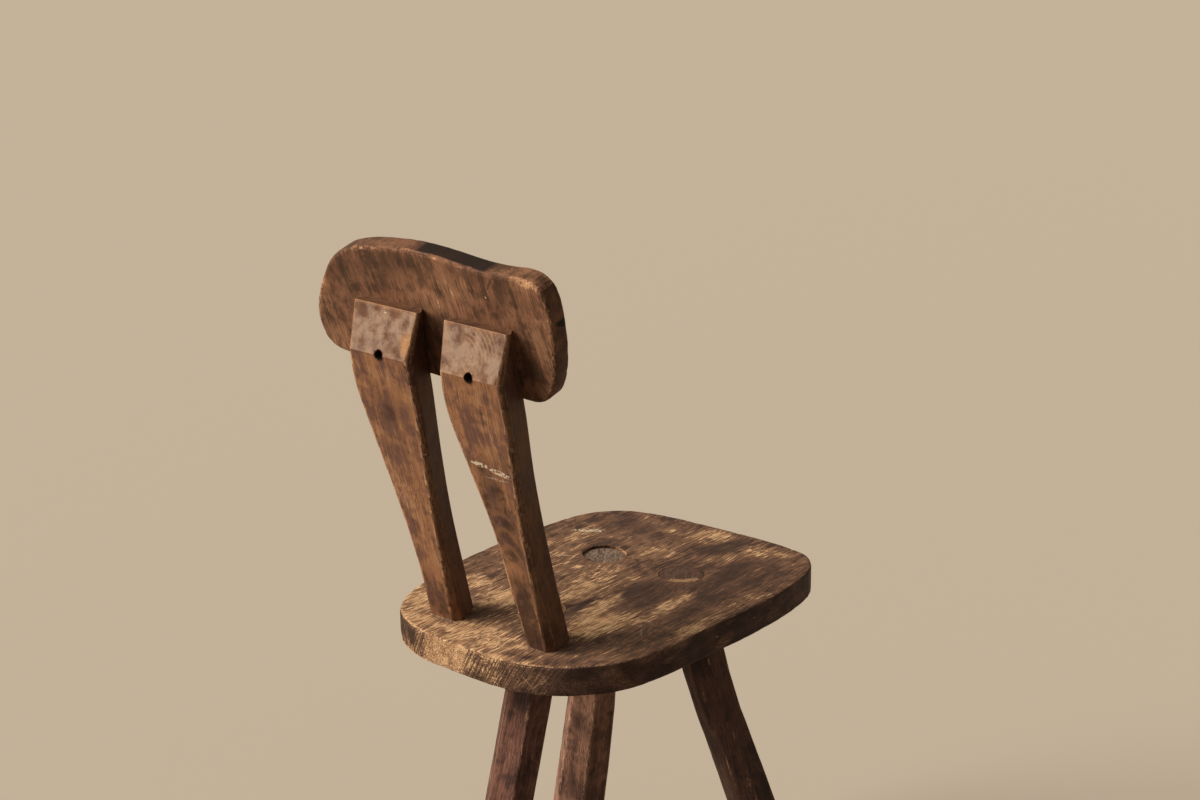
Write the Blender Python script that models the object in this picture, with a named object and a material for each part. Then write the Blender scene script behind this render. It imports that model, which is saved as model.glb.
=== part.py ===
"""Three-legged wooden chair with a plank seat, two leaning posts and a crest board.

Metres, +Z up. The chair faces -Y and the sitter's left hand is at +X.
Tables are in millimetres. "Forward" counts from the back edge of the seat.
"""
import math

import bmesh
import bpy
from mathutils import Vector

MM = 0.001

# Fits
GAP = 0.3                    # play between mating faces
BODY_Y = 178.1               # back edge of the seat, behind the middle of the chair
BODY_X = 0.06                # middle of the seat's back edge, to the left of the chair's middle
OVERCUT = 20.0               # how far a cutter runs on past the wood
TENON_END = 0.4              # from the end of a tenon to the face of the seat that it comes through to
PLAIN_ANGLE = 30.0           # corners sharper than this show as edges
HEWN_ANGLE = 20.0            # the same for hewn wood, whose facets meet at wide angles

# Seat plank
SEAT_TOP = 430.0
SEAT_THICK = 30.0
SEAT_ARRIS = 2.6
SEAT_OUTLINE = [             # (to the sitter's left, forward)
    (0, 0), (-50, 1), (-75, 8), (-98, 20), (-118, 39), (-134, 62), (-143, 90), (-148, 130),
    (-149.5, 190), (-151.5, 240), (-150.5, 290), (-145, 333), (-134, 368), (-114, 390),
    (-85, 397), (-40, 398), (10, 395.5), (60, 391), (95, 383), (121, 367), (138, 342),
    (147, 303), (150, 250), (151, 190), (148, 140), (138, 92), (127, 57), (107, 28),
    (80, 11), (45, 2),
]

# Legs: tenon centre at the seat top, slopes per unit of drop, depth of the sunk tenon end,
# corner bearings round the axis, and stations (drop, corner radius, shift to the left, forward)
LEG_TENON_R = 21.3
LEG_TENON_SIDES = 48
LEG_ARRIS = 2.0
LEGS = {
    "leg_back": (
        (0, 115), (-0.003, -0.2975), TENON_END, [15, 75, 135, 195, 255, 315],
        [(SEAT_THICK + GAP, 25.5, 0, 0), (90, 25.3, 0, 0), (300, 25.8, 0, 0), (SEAT_TOP, 25.0, 0, 0)]),
    "leg_front_left": (
        (48, 264), (0.2437, 0.161), 3.6, [19, 79, 139, 199, 259, 319],
        [(SEAT_THICK + GAP, 25.3, 0, 0), (100, 25.6, -0.4, 0.3), (190, 27.6, -1.2, 1.0),
         (300, 30.0, 0.6, -0.5), (SEAT_TOP, 30.0, 3.4, -2.9)]),
    "leg_front_right": (
        (-46.5, 269), (-0.2434, 0.1585), TENON_END, [23, 77, 129, 175, 227, 291, 329, 348],
        [(SEAT_THICK + GAP, 24.9, 0, 0), (100, 24.0, 2.7, -2.3), (140, 23.8, 2.4, -2.0),
         (170, 24.4, 0.8, -0.7), (245, 25.6, -2.2, 1.9), (SEAT_TOP, 25.8, -9.2, 7.7)]),
}

# Posts: height, inner and outer edge of the back face, how much narrower the front face is
# on each side, how far the corner behind it stands out and how deep it lies
LEAN = 0.2875                # backward per unit of rise
BACK_FACE = 38.5             # forward of the back edge, at the seat top
POST_DEPTH = 37.5            # level, from back face to front face
POST_ARRIS = 1.6
POST_TENON_R = 13.0
POST_TENON_SIDES = 32
POST_TENON_AT = 56.0         # forward of the back edge, at the seat top
RIDGE = 280.0                # where the sloping head facet starts
HEAD_TOP = 324.0
HEAD_SLOPE = 0.2386          # forward per unit of rise on the head facet
POSTS = {
    "post_left": (1, [
        (0, 48, 75, 6.5, 7, 8), (60, 42.5, 74, 10.5, 4, 6), (120, 37.5, 79, 12.5, 3.5, 5),
        (180, 30.5, 87, 12.8, 3.5, 5), (240, 24, 95, 10.5, 3.5, 5), (RIDGE, 21, 91, 9, 3, 5),
        (HEAD_TOP, 15.5, 92.5, 7, 1, 4)]),
    "post_right": (-1, [
        (0, 47.5, 69, 2, 5.5, 9), (60, 43, 71.3, 5, 3.5, 5), (120, 39.5, 73.8, 6.5, 3.5, 5),
        (180, 28.5, 79.2, 8.5, 3.5, 5), (240, 17.2, 85.7, 8, 3.5, 5), (RIDGE, 20.5, 87.6, 7.5, 3, 5),
        (HEAD_TOP, 16.7, 90.6, 7, 1, 4)]),
}

# Crest board: (to the sitter's left, up along the lean from the seat top)
CREST_THICK = 21.0
CREST_ARRIS = 3.2
CREST_OUTLINE = [
    (166.5, 301), (164, 313), (156, 330), (147, 345), (131, 366), (110, 380.5), (87, 388),
    (60, 392.5), (24, 395.5), (-8, 394.5), (-41, 391), (-63, 389.4), (-85, 390), (-101, 391.3),
    (-115, 389.4), (-126, 381.5), (-130.3, 366), (-129.5, 341), (-126, 314), (-118, 287.7),
    (-108.4, 271.8), (-96, 264.6), (-80, 263.9), (-40, 264.5), (30, 265.7), (100, 266.3),
    (138, 266.6), (153, 269.6), (161.5, 275.5), (165.8, 286),
]

# Screws that hold the crest board, each in a counterbored hole on a post's ridge
SCREW_X = [54.5, -53.8]
SCREW_SIDES = 28
COUNTERBORE_R = 5.0
SHOULDER = 16.0              # wood left between the counterbore and the board
SCREW_HEAD_R = 4.1
SCREW_HEAD_H = 2.8
SCREW_SHANK_R = 2.1
SCREW_REACH = 13.0           # into the board
SCREW_TAPER = 5.0
SCREW_TIP_R = 0.4
SLOT_WIDTH = 1.2
SLOT_DEPTH = 1.3
SLOT_TURN = [25, 70]         # where each screw came to rest, in degrees

SLOPE = math.hypot(1.0, LEAN)
UP = 1.0 / SLOPE
BACK = LEAN / SLOPE


def place(x, forward, height):
    """Point from left, forward of the back edge and up from the floor."""
    return Vector(((x - BODY_X) * MM, (BODY_Y - forward) * MM, height * MM))


def lean_place(x, along, depth):
    """Point on the leaning plane of the posts' front faces; depth counts forward."""
    forward = BACK_FACE + POST_DEPTH - BACK * along + UP * depth
    return place(x, forward, SEAT_TOP + UP * along + BACK * depth)


SCREW_ALONG = (RIDGE + LEAN * (POST_DEPTH + LEAN * RIDGE)) / SLOPE


def make_material(name, rgb, roughness, metallic=0.0):
    mat = bpy.data.materials.new(name)
    mat.use_nodes = True
    shader = mat.node_tree.nodes["Principled BSDF"]
    shader.inputs["Base Color"].default_value = (*rgb, 1.0)
    shader.inputs["Roughness"].default_value = roughness
    shader.inputs["Metallic"].default_value = metallic
    mat.diffuse_color = (*rgb, 1.0)
    return mat


def shade(mesh, sharp_above):
    for poly in mesh.polygons:
        poly.use_smooth = True
    mesh.set_sharp_from_angle(angle=math.radians(sharp_above))


def add_object(name, bm, material, sharp_above=PLAIN_ANGLE):
    bmesh.ops.recalc_face_normals(bm, faces=bm.faces)
    mesh = bpy.data.meshes.new(name)
    bm.to_mesh(mesh)
    bm.free()
    shade(mesh, sharp_above)
    mesh.materials.append(material)
    obj = bpy.data.objects.new(name, mesh)
    bpy.context.scene.collection.objects.link(obj)
    return obj


def spline(points, steps):
    """Closed centripetal curve through the points."""
    pts = [Vector(p) for p in points]
    count = len(pts)
    out = []
    for i in range(count):
        p0, p1, p2, p3 = (pts[(i + k) % count] for k in (-1, 0, 1, 2))
        t1 = math.sqrt((p1 - p0).length)
        t2 = t1 + math.sqrt((p2 - p1).length)
        t3 = t2 + math.sqrt((p3 - p2).length)
        for s in range(steps):
            t = t1 + (t2 - t1) * s / steps
            a1 = p0 * ((t1 - t) / t1) + p1 * (t / t1)
            a2 = p1 * ((t2 - t) / (t2 - t1)) + p2 * ((t - t1) / (t2 - t1))
            a3 = p2 * ((t3 - t) / (t3 - t2)) + p3 * ((t - t2) / (t3 - t2))
            b1 = a1 * ((t2 - t) / t2) + a2 * (t / t2)
            b2 = a2 * ((t3 - t) / (t3 - t1)) + a3 * ((t - t1) / (t3 - t1))
            out.append(b1 * ((t2 - t) / (t2 - t1)) + b2 * ((t - t1) / (t2 - t1)))
    return out


def inset(points, distance):
    """Move a smooth closed outline inwards."""
    count = len(points)
    area = sum(points[i].x * points[(i + 1) % count].y - points[(i + 1) % count].x * points[i].y
               for i in range(count))
    side = 1.0 if area > 0 else -1.0
    out = []
    for i in range(count):
        along = (points[(i + 1) % count] - points[i - 1]).normalized()
        out.append(points[i] + Vector((-along.y, along.x)) * distance * side)
    return out


def rounded(corners, radius):
    """Replace each corner of a closed outline by three points on a small round."""
    out = []
    count = len(corners)
    for i in range(count):
        before, corner, after = corners[i - 1], corners[i], corners[(i + 1) % count]
        start = corner + (before - corner).normalized() * radius
        end = corner + (after - corner).normalized() * radius
        out.append(start)
        out.append((start + end) / 4 + corner / 2)
        out.append(end)
    return out


def plank_levels(thickness, arris):
    """Depth and inset of each outline of a plank whose two faces have rounded arrises."""
    rounding = [(0.0, 1.0), (0.3, 0.3), (1.0, 0.0)]
    near = [(arris * depth, arris * inward) for depth, inward in rounding]
    return near + [(thickness - depth, inward) for depth, inward in reversed(near)]


def loft(bm, rings, cap_first=True, cap_last=True):
    """Skin rings of equally many points; returns the rings of vertices."""
    made = [[bm.verts.new(p) for p in ring] for ring in rings]
    for low, high in zip(made, made[1:]):
        for i in range(len(low)):
            j = (i + 1) % len(low)
            bm.faces.new((low[i], low[j], high[j], high[i]))
    if cap_first:
        bm.faces.new(list(reversed(made[0])))
    if cap_last:
        bm.faces.new(made[-1])
    return made


def join_rings(bm, outer, inner):
    """Flat shoulder between an outer ring and a finer inner ring."""
    middle = sum((v.co for v in inner), Vector()) / len(inner)

    def bearing(v):
        return math.atan2(v.co.y - middle.y, v.co.x - middle.x)

    def apart(v, w):
        return abs(math.remainder(bearing(v) - bearing(w), math.tau))

    def turning(ring):
        steps = (bearing(ring[k]) - bearing(ring[k - 1]) for k in range(len(ring)))
        return sum(math.remainder(step, math.tau) for step in steps)

    if turning(inner) * turning(outer) < 0:
        inner = inner[::-1]
    start = min(range(len(inner)), key=lambda k: apart(inner[k], outer[0]))
    inner = inner[start:] + inner[:start]
    near = [0]
    for v in outer[1:]:
        near.append(min(range(near[-1], len(inner)), key=lambda k: apart(inner[k], v)))
    near.append(len(inner))
    outer = outer + [outer[0]]
    inner = inner + [inner[0]]
    for i in range(len(outer) - 1):
        arc = inner[near[i]:near[i + 1] + 1]
        bm.faces.new([outer[i], outer[i + 1]] + list(reversed(arc)))


def slice_of(axis_at, axis, radius, height, bearings):
    """Level cut through a rod that runs along an axis, with one point per bearing round it."""
    side = axis.cross(Vector((0, 0, 1))).normalized()
    other = side.cross(axis).normalized()
    centre = axis_at + axis * ((height - axis_at.z) / axis.z)
    out = []
    for bearing in bearings:
        angle = math.radians(bearing)
        rim = side * (math.cos(angle) * radius) + other * (math.sin(angle) * radius)
        out.append(centre + rim - axis * (rim.z / axis.z))
    return out


def cylinder(start, end, radius, count):
    bm = bmesh.new()
    axis = (end - start).normalized()
    side = axis.orthogonal().normalized()
    other = axis.cross(side)
    rings = []
    for at in (start, end):
        ring = []
        for k in range(count):
            angle = math.tau * k / count
            ring.append(at + (side * math.cos(angle) + other * math.sin(angle)) * radius)
        rings.append(ring)
    loft(bm, rings)
    return bm


def cut(target, cutters, sharp_above=PLAIN_ANGLE):
    """Take the cutters out of the target and keep the result as plain mesh."""
    for i, bm in enumerate(cutters):
        tool = add_object(f"cutter_{i}", bm, target.data.materials[0])
        tool.hide_render = True
        tool.display_type = 'WIRE'
        mod = target.modifiers.new("cut", 'BOOLEAN')
        mod.operation = 'DIFFERENCE'
        mod.solver = 'EXACT'
        mod.object = tool
        evaluated = target.evaluated_get(bpy.context.evaluated_depsgraph_get())
        mesh = bpy.data.meshes.new_from_object(evaluated)
        target.modifiers.remove(mod)
        old = target.data
        target.data = mesh
        bpy.data.meshes.remove(old)
        cutter_mesh = tool.data
        bpy.data.objects.remove(tool)
        bpy.data.meshes.remove(cutter_mesh)
    target.data.name = target.name
    shade(target.data, sharp_above)


for old in list(bpy.data.objects):
    bpy.data.objects.remove(old)

seat_wood = make_material("seat_wood", (0.070, 0.036, 0.022), 0.55)
leg_wood = make_material("leg_wood", (0.085, 0.038, 0.022), 0.55)
post_wood = make_material("post_wood", (0.150, 0.062, 0.027), 0.55)
crest_wood = make_material("crest_wood", (0.110, 0.045, 0.027), 0.50)
screw_steel = make_material("screw_steel", (0.150, 0.130, 0.110), 0.60, 1.0)

# Legs: hewn six-sided poles whose round tenons come up through the seat
leg_axes = {}
for name, (tenon, slopes, sunk, bearings, stations) in LEGS.items():
    top = place(tenon[0], tenon[1], SEAT_TOP)
    axis = (place(tenon[0] + slopes[0], tenon[1] + slopes[1], SEAT_TOP - 1) - top).normalized()
    leg_axes[name] = (top, axis)
    rings = []
    for drop, size, left, forward in reversed(stations):
        height = (SEAT_TOP - drop) * MM
        shift = Vector((left, -forward, 0)) * MM
        corners = [p + shift for p in slice_of(top, axis, size * MM, height, bearings)]
        rings.append(rounded(corners, LEG_ARRIS * MM))
    bm = bmesh.new()
    body = loft(bm, rings, cap_last=False)
    round_bearings = [bearings[0] + 360 / LEG_TENON_SIDES * k for k in range(LEG_TENON_SIDES)]
    tenon_rings = []
    for drop in (SEAT_THICK + GAP, sunk):
        height = (SEAT_TOP - drop) * MM
        tenon_rings.append(slice_of(top, axis, LEG_TENON_R * MM, height, round_bearings))
    peg = loft(bm, tenon_rings, cap_first=False)
    join_rings(bm, body[-1], peg[0])
    add_object(name, bm, leg_wood, HEWN_ANGLE)

# Seat: one plank with rounded arrises, bored for three legs and two posts
outline = spline(SEAT_OUTLINE, 3)
rings = []
for rise, inward in plank_levels(SEAT_THICK, SEAT_ARRIS):
    rings.append([place(p.x, p.y, SEAT_TOP - SEAT_THICK + rise) for p in inset(outline, inward)])
bm = bmesh.new()
loft(bm, rings)
seat = add_object("seat", bm, seat_wood)
bores = []
through = (2 * SEAT_THICK + OVERCUT) * MM
for top, axis in leg_axes.values():
    bores.append(cylinder(top - axis * OVERCUT * MM, top + axis * through,
                          (LEG_TENON_R + GAP) * MM, LEG_TENON_SIDES))
post_lean = Vector((0, LEAN, 1)).normalized()
post_feet = {}
for name, (side, rows) in POSTS.items():
    foot = place(side * (rows[0][1] + rows[0][2]) / 2, POST_TENON_AT, SEAT_TOP)
    post_feet[name] = foot
    bores.append(cylinder(foot + post_lean * OVERCUT * MM, foot - post_lean * through,
                          (POST_TENON_R + GAP) * MM, POST_TENON_SIDES))
cut(seat, bores)

# Posts: hewn billets, broader at the top, each with a round tenon through the seat
for (name, (side, rows)), screw_x in zip(POSTS.items(), SCREW_X):
    stations = []
    for i in range(len(rows) - 2):
        r0, r1, r2, r3 = (rows[min(max(i + k, 0), len(rows) - 2)] for k in (-1, 0, 1, 2))
        for s in range(3):
            t = s / 3
            stations.append([0.5 * (2 * b + (c - a) * t + (2 * a - 5 * b + 4 * c - d) * t * t
                                    + (3 * b - a - 3 * c + d) * t ** 3)
                             for a, b, c, d in zip(r0, r1, r2, r3)])
    stations += [list(rows[-2]), list(rows[-1])]
    stations[0][0] += GAP
    rings = []
    for height, back_in, back_out, narrow, stand, deep in stations:
        back = BACK_FACE - LEAN * min(height, RIDGE) + HEAD_SLOPE * max(height - RIDGE, 0)
        front = BACK_FACE + POST_DEPTH - LEAN * height
        corners = [
            (back_in, back), (back_in - stand, back + deep), (back_in + narrow, front),
            (back_out - narrow, front), (back_out + stand, back + deep), (back_out, back)]
        if side < 0:
            corners.reverse()
        ring = rounded([Vector((side * x, y)) for x, y in corners], POST_ARRIS)
        rings.append([place(p.x, p.y, SEAT_TOP + height) for p in ring])
    bm = bmesh.new()
    body = loft(bm, rings, cap_first=False)
    tenon_rings = []
    round_bearings = [360 / POST_TENON_SIDES * k for k in range(POST_TENON_SIDES)]
    for height in (GAP, TENON_END - SEAT_THICK):
        tenon_rings.append(slice_of(post_feet[name], -post_lean, POST_TENON_R * MM,
                                    (SEAT_TOP + height) * MM, round_bearings))
    peg = loft(bm, tenon_rings, cap_first=False)
    join_rings(bm, body[0], peg[0])
    post = add_object(name, bm, post_wood, HEWN_ANGLE)
    mouth = lean_place(screw_x, SCREW_ALONG, -POST_DEPTH - OVERCUT)
    shoulder = lean_place(screw_x, SCREW_ALONG, -SHOULDER)
    far_side = lean_place(screw_x, SCREW_ALONG, OVERCUT)
    cut(post, [
        cylinder(mouth, shoulder, COUNTERBORE_R * MM, SCREW_SIDES),
        cylinder(mouth, far_side, (SCREW_SHANK_R + GAP) * MM, SCREW_SIDES)], HEWN_ANGLE)

# Crest board: one flat board across the posts' front faces
outline = spline(CREST_OUTLINE, 3)
rings = []
for depth, inward in plank_levels(CREST_THICK, CREST_ARRIS):
    rings.append([lean_place(p.x, p.y, GAP + depth) for p in inset(outline, inward)])
bm = bmesh.new()
loft(bm, rings)
crest = add_object("crest_board", bm, crest_wood)
pilot_holes = []
for x in SCREW_X:
    start = lean_place(x, SCREW_ALONG, -OVERCUT)
    end = lean_place(x, SCREW_ALONG, SCREW_REACH + 2 * GAP)
    pilot_holes.append(cylinder(start, end, (SCREW_SHANK_R + GAP) * MM, SCREW_SIDES))
cut(crest, pilot_holes)

# Screws: slotted round heads seated at the bottom of the counterbores
for name, x, turn in zip(("crest_screw_left", "crest_screw_right"), SCREW_X, SLOT_TURN):
    under_head = -SHOULDER - GAP
    profile = [(SCREW_REACH, SCREW_TIP_R), (SCREW_REACH - SCREW_TAPER, SCREW_SHANK_R),
               (under_head, SCREW_SHANK_R), (under_head, SCREW_HEAD_R)]
    for degrees in (20, 40, 60, 80):
        dome = math.radians(degrees)
        profile.append((under_head - SCREW_HEAD_H * math.sin(dome), SCREW_HEAD_R * math.cos(dome)))
    rings = []
    for depth, radius in profile:
        ring = []
        for k in range(SCREW_SIDES):
            angle = math.tau * k / SCREW_SIDES
            across = x + radius * math.cos(angle)
            ring.append(lean_place(across, SCREW_ALONG + radius * math.sin(angle), depth))
        rings.append(ring)
    bm = bmesh.new()
    loft(bm, rings)
    screw = add_object(name, bm, screw_steel)
    cosine = math.cos(math.radians(turn))
    sine = math.sin(math.radians(turn))
    corners = []
    for end, edge in ((-1, -1), (1, -1), (1, 1), (-1, 1)):
        u = end * 1.5 * SCREW_HEAD_R
        v = edge * SLOT_WIDTH / 2
        corners.append((x + u * cosine - v * sine, SCREW_ALONG + u * sine + v * cosine))
    slot_floor = under_head - SCREW_HEAD_H + SLOT_DEPTH
    slot_mouth = under_head - 2 * SCREW_HEAD_H
    slot = bmesh.new()
    loft(slot, [[lean_place(a, b, depth) for a, b in corners] for depth in (slot_floor, slot_mouth)])
    cut(screw, [slot])
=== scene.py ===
import math

import bmesh
import bpy
import numpy as np
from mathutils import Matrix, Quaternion, Vector, noise


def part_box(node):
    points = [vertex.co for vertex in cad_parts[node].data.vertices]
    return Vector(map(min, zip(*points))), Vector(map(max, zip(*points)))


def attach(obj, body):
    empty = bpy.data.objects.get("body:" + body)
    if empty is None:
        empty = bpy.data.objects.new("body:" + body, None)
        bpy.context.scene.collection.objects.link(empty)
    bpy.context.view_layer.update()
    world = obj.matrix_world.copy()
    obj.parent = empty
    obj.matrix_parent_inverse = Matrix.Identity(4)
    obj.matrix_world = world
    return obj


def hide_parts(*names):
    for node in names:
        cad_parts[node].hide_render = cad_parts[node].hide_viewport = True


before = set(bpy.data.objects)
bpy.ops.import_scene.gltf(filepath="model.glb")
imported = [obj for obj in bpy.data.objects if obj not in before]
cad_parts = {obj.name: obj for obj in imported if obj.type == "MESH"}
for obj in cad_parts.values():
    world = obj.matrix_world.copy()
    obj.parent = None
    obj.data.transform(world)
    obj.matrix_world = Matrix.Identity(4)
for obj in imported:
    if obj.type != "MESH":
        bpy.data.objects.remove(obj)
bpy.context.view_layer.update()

# Seat: one thick hardwood plank with the grain running front to back, sawn to a round
# outline by hand. Its dark oil stain is rubbed through to tan wood in streaks, and its
# back edge is bare end grain that still carries the marks of the saw.
MM = 0.001
SEAT_TOP = 430.0             # heights above the floor in mm
SEAT_UNDERSIDE = 400.0
ARRIS_ANGLE = 0.15           # radians; faces that meet more sharply than this form an arris


def linear(hex_colour):
    """Linear colour of an sRGB hex value."""
    channels = [int(hex_colour[i:i + 2], 16) / 255 for i in (0, 2, 4)]
    return (*(c / 12.92 if c <= 0.04045 else ((c + 0.055) / 1.055) ** 2.4 for c in channels), 1.0)


def add(tree, kind, inputs, out=0, **settings):
    """Add a node with its settings, numbers and links, and return one of its outputs.

    A colour Mix takes its share at input 0 and its colours at 6 and 7; its result is output 2.
    """
    node = tree.nodes.new(kind)
    for name, value in settings.items():
        setattr(node, name, value)
    for key, value in inputs.items():
        if isinstance(value, bpy.types.NodeSocket):
            tree.links.new(value, node.inputs[key])
        else:
            node.inputs[key].default_value = value
    return node.outputs[out]


def finer_copy(node, name, spacing):
    """Mesh of a node sliced along the three axes every few mm, so that it can take relief.

    Its "edge" attribute is 1 on the arrises and fades out over a few millimetres.
    """
    bm = bmesh.new()
    bm.from_mesh(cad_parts[node].data)
    bmesh.ops.remove_doubles(bm, verts=bm.verts, dist=0.005 * MM)
    bmesh.ops.dissolve_limit(bm, angle_limit=0.01, verts=bm.verts, edges=bm.edges)
    low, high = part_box(node)
    for axis in range(3):
        normal = [float(axis == k) for k in range(3)]
        for cut in np.arange(low[axis] + spacing * MM / 2, high[axis], spacing * MM):
            everything = bm.verts[:] + bm.edges[:] + bm.faces[:]
            bmesh.ops.bisect_plane(bm, geom=everything, dist=1e-7, plane_no=normal,
                                   plane_co=[float(cut) * n for n in normal])
    bmesh.ops.triangulate(bm, faces=bm.faces)
    bm.verts.index_update()
    edge = np.zeros(len(bm.verts))
    for e in bm.edges:
        if e.calc_face_angle(0.0) > ARRIS_ANGLE:
            edge[e.verts[0].index] = edge[e.verts[1].index] = 1.0
    mesh = bpy.data.meshes.new(name)
    bm.to_mesh(mesh)
    bm.free()
    set_values(mesh, "edge", np.maximum(edge, 0.5 * averaged(mesh, edge, 2)))
    return mesh


def averaged(mesh, values, rounds, share=0.6):
    """Let each vertex's value drift towards the mean of its neighbours'."""
    ends = np.zeros(len(mesh.edges) * 2, int)
    mesh.edges.foreach_get("vertices", ends)
    one, two = ends.reshape(-1, 2).T
    count = np.bincount(ends, minlength=len(values)).astype(float)
    if values.ndim == 2:
        count = count[:, None]
    for _ in range(rounds):
        total = np.zeros_like(values)
        np.add.at(total, one, values[two])
        np.add.at(total, two, values[one])
        values = values + share * (total / count - values)
    return values


def get_values(mesh, name):
    """One number for each vertex, from the mesh's attribute."""
    values = np.zeros(len(mesh.vertices))
    mesh.attributes[name].data.foreach_get("value", values)
    return values


def set_values(mesh, name, values):
    """Keep one number from 0 to 1 for each vertex, for the material to read."""
    if name not in mesh.attributes:
        mesh.attributes.new(name, 'FLOAT', 'POINT')
    mesh.attributes[name].data.foreach_set("value", np.clip(values, 0, 1).astype(np.float32))


def places(mesh, kind="co"):
    """Vertex places in mm, or their normals."""
    values = np.zeros(len(mesh.vertices) * 3)
    mesh.vertices.foreach_get(kind, values)
    return values.reshape(-1, 3) / (MM if kind == "co" else 1.0)


def mottle(at, size, seed):
    """Smooth noise from about -1 to 1 with blots of this size in mm along each axis."""
    scaled = at / np.array(size, float) + 31.7 * seed
    return np.array([noise.noise(Vector(p)) for p in scaled]) * 1.6


def patches(across, up, table):
    """Sum of soft ellipses: middle, half sizes in mm, turn in degrees, strength."""
    total = np.zeros(len(across))
    for x, y, half_x, half_y, turn, strength in table:
        cosine = math.cos(math.radians(turn))
        sine = math.sin(math.radians(turn))
        u = ((across - x) * cosine + (up - y) * sine) / half_x
        v = ((up - y) * cosine - (across - x) * sine) / half_y
        total += strength * np.exp(-(u * u + v * v) ** 2)
    return total


def press_in(mesh, depth):
    """Move each vertex into the wood by its depth in mm."""
    moved = places(mesh) - places(mesh, "normal") * depth[:, None]
    mesh.vertices.foreach_set("co", (moved * MM).ravel())
    mesh.update()


def soften(mesh, how_much, rounds):
    """Rub the arrises round; how_much is from 0 to 1 at each vertex."""
    at = places(mesh)
    for _ in range(rounds):
        at = at + how_much[:, None] * (averaged(mesh, at, 1, 1.0) - at)
    mesh.vertices.foreach_set("co", (at * MM).ravel())
    mesh.update()


def show(mesh, node, material):
    """Make the mesh a piece that stands for a node, smooth with its sharp corners kept."""
    for poly in mesh.polygons:
        poly.use_smooth = True
    mesh.set_sharp_from_angle(angle=math.radians(22))
    mesh.materials.clear()
    mesh.materials.append(material)
    piece = bpy.data.objects.new(mesh.name, mesh)
    bpy.context.scene.collection.objects.link(piece)
    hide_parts(node)
    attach(piece, "root")


def spot(tree, coords, centre, half, turn=0.0, axis=2):
    """Value 1 at the centre of an ellipsoid, falling to 0 at its rim; mm and degrees."""
    rotation = [0.0, 0.0, 0.0]
    rotation[axis] = math.radians(turn)
    local = add(tree, "ShaderNodeMapping", {
        "Vector": coords, "Location": [c * MM for c in centre], "Rotation": rotation,
        "Scale": [h * MM for h in half]}, vector_type='TEXTURE')
    return add(tree, "ShaderNodeTexGradient", {"Vector": local}, out=1, gradient_type='SPHERICAL')


def lay(tree, under, over, pattern, low, high, most=1.0):
    """Lay a colour over another: none of it where the pattern is low, most where it is high."""
    share = add(tree, "ShaderNodeMapRange", {
        "Value": pattern, "From Min": low, "From Max": high, "To Max": most},
        interpolation_type='SMOOTHSTEP')
    return add(tree, "ShaderNodeMix", {0: share, 6: under, 7: over}, out=2, data_type='RGBA')


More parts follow.
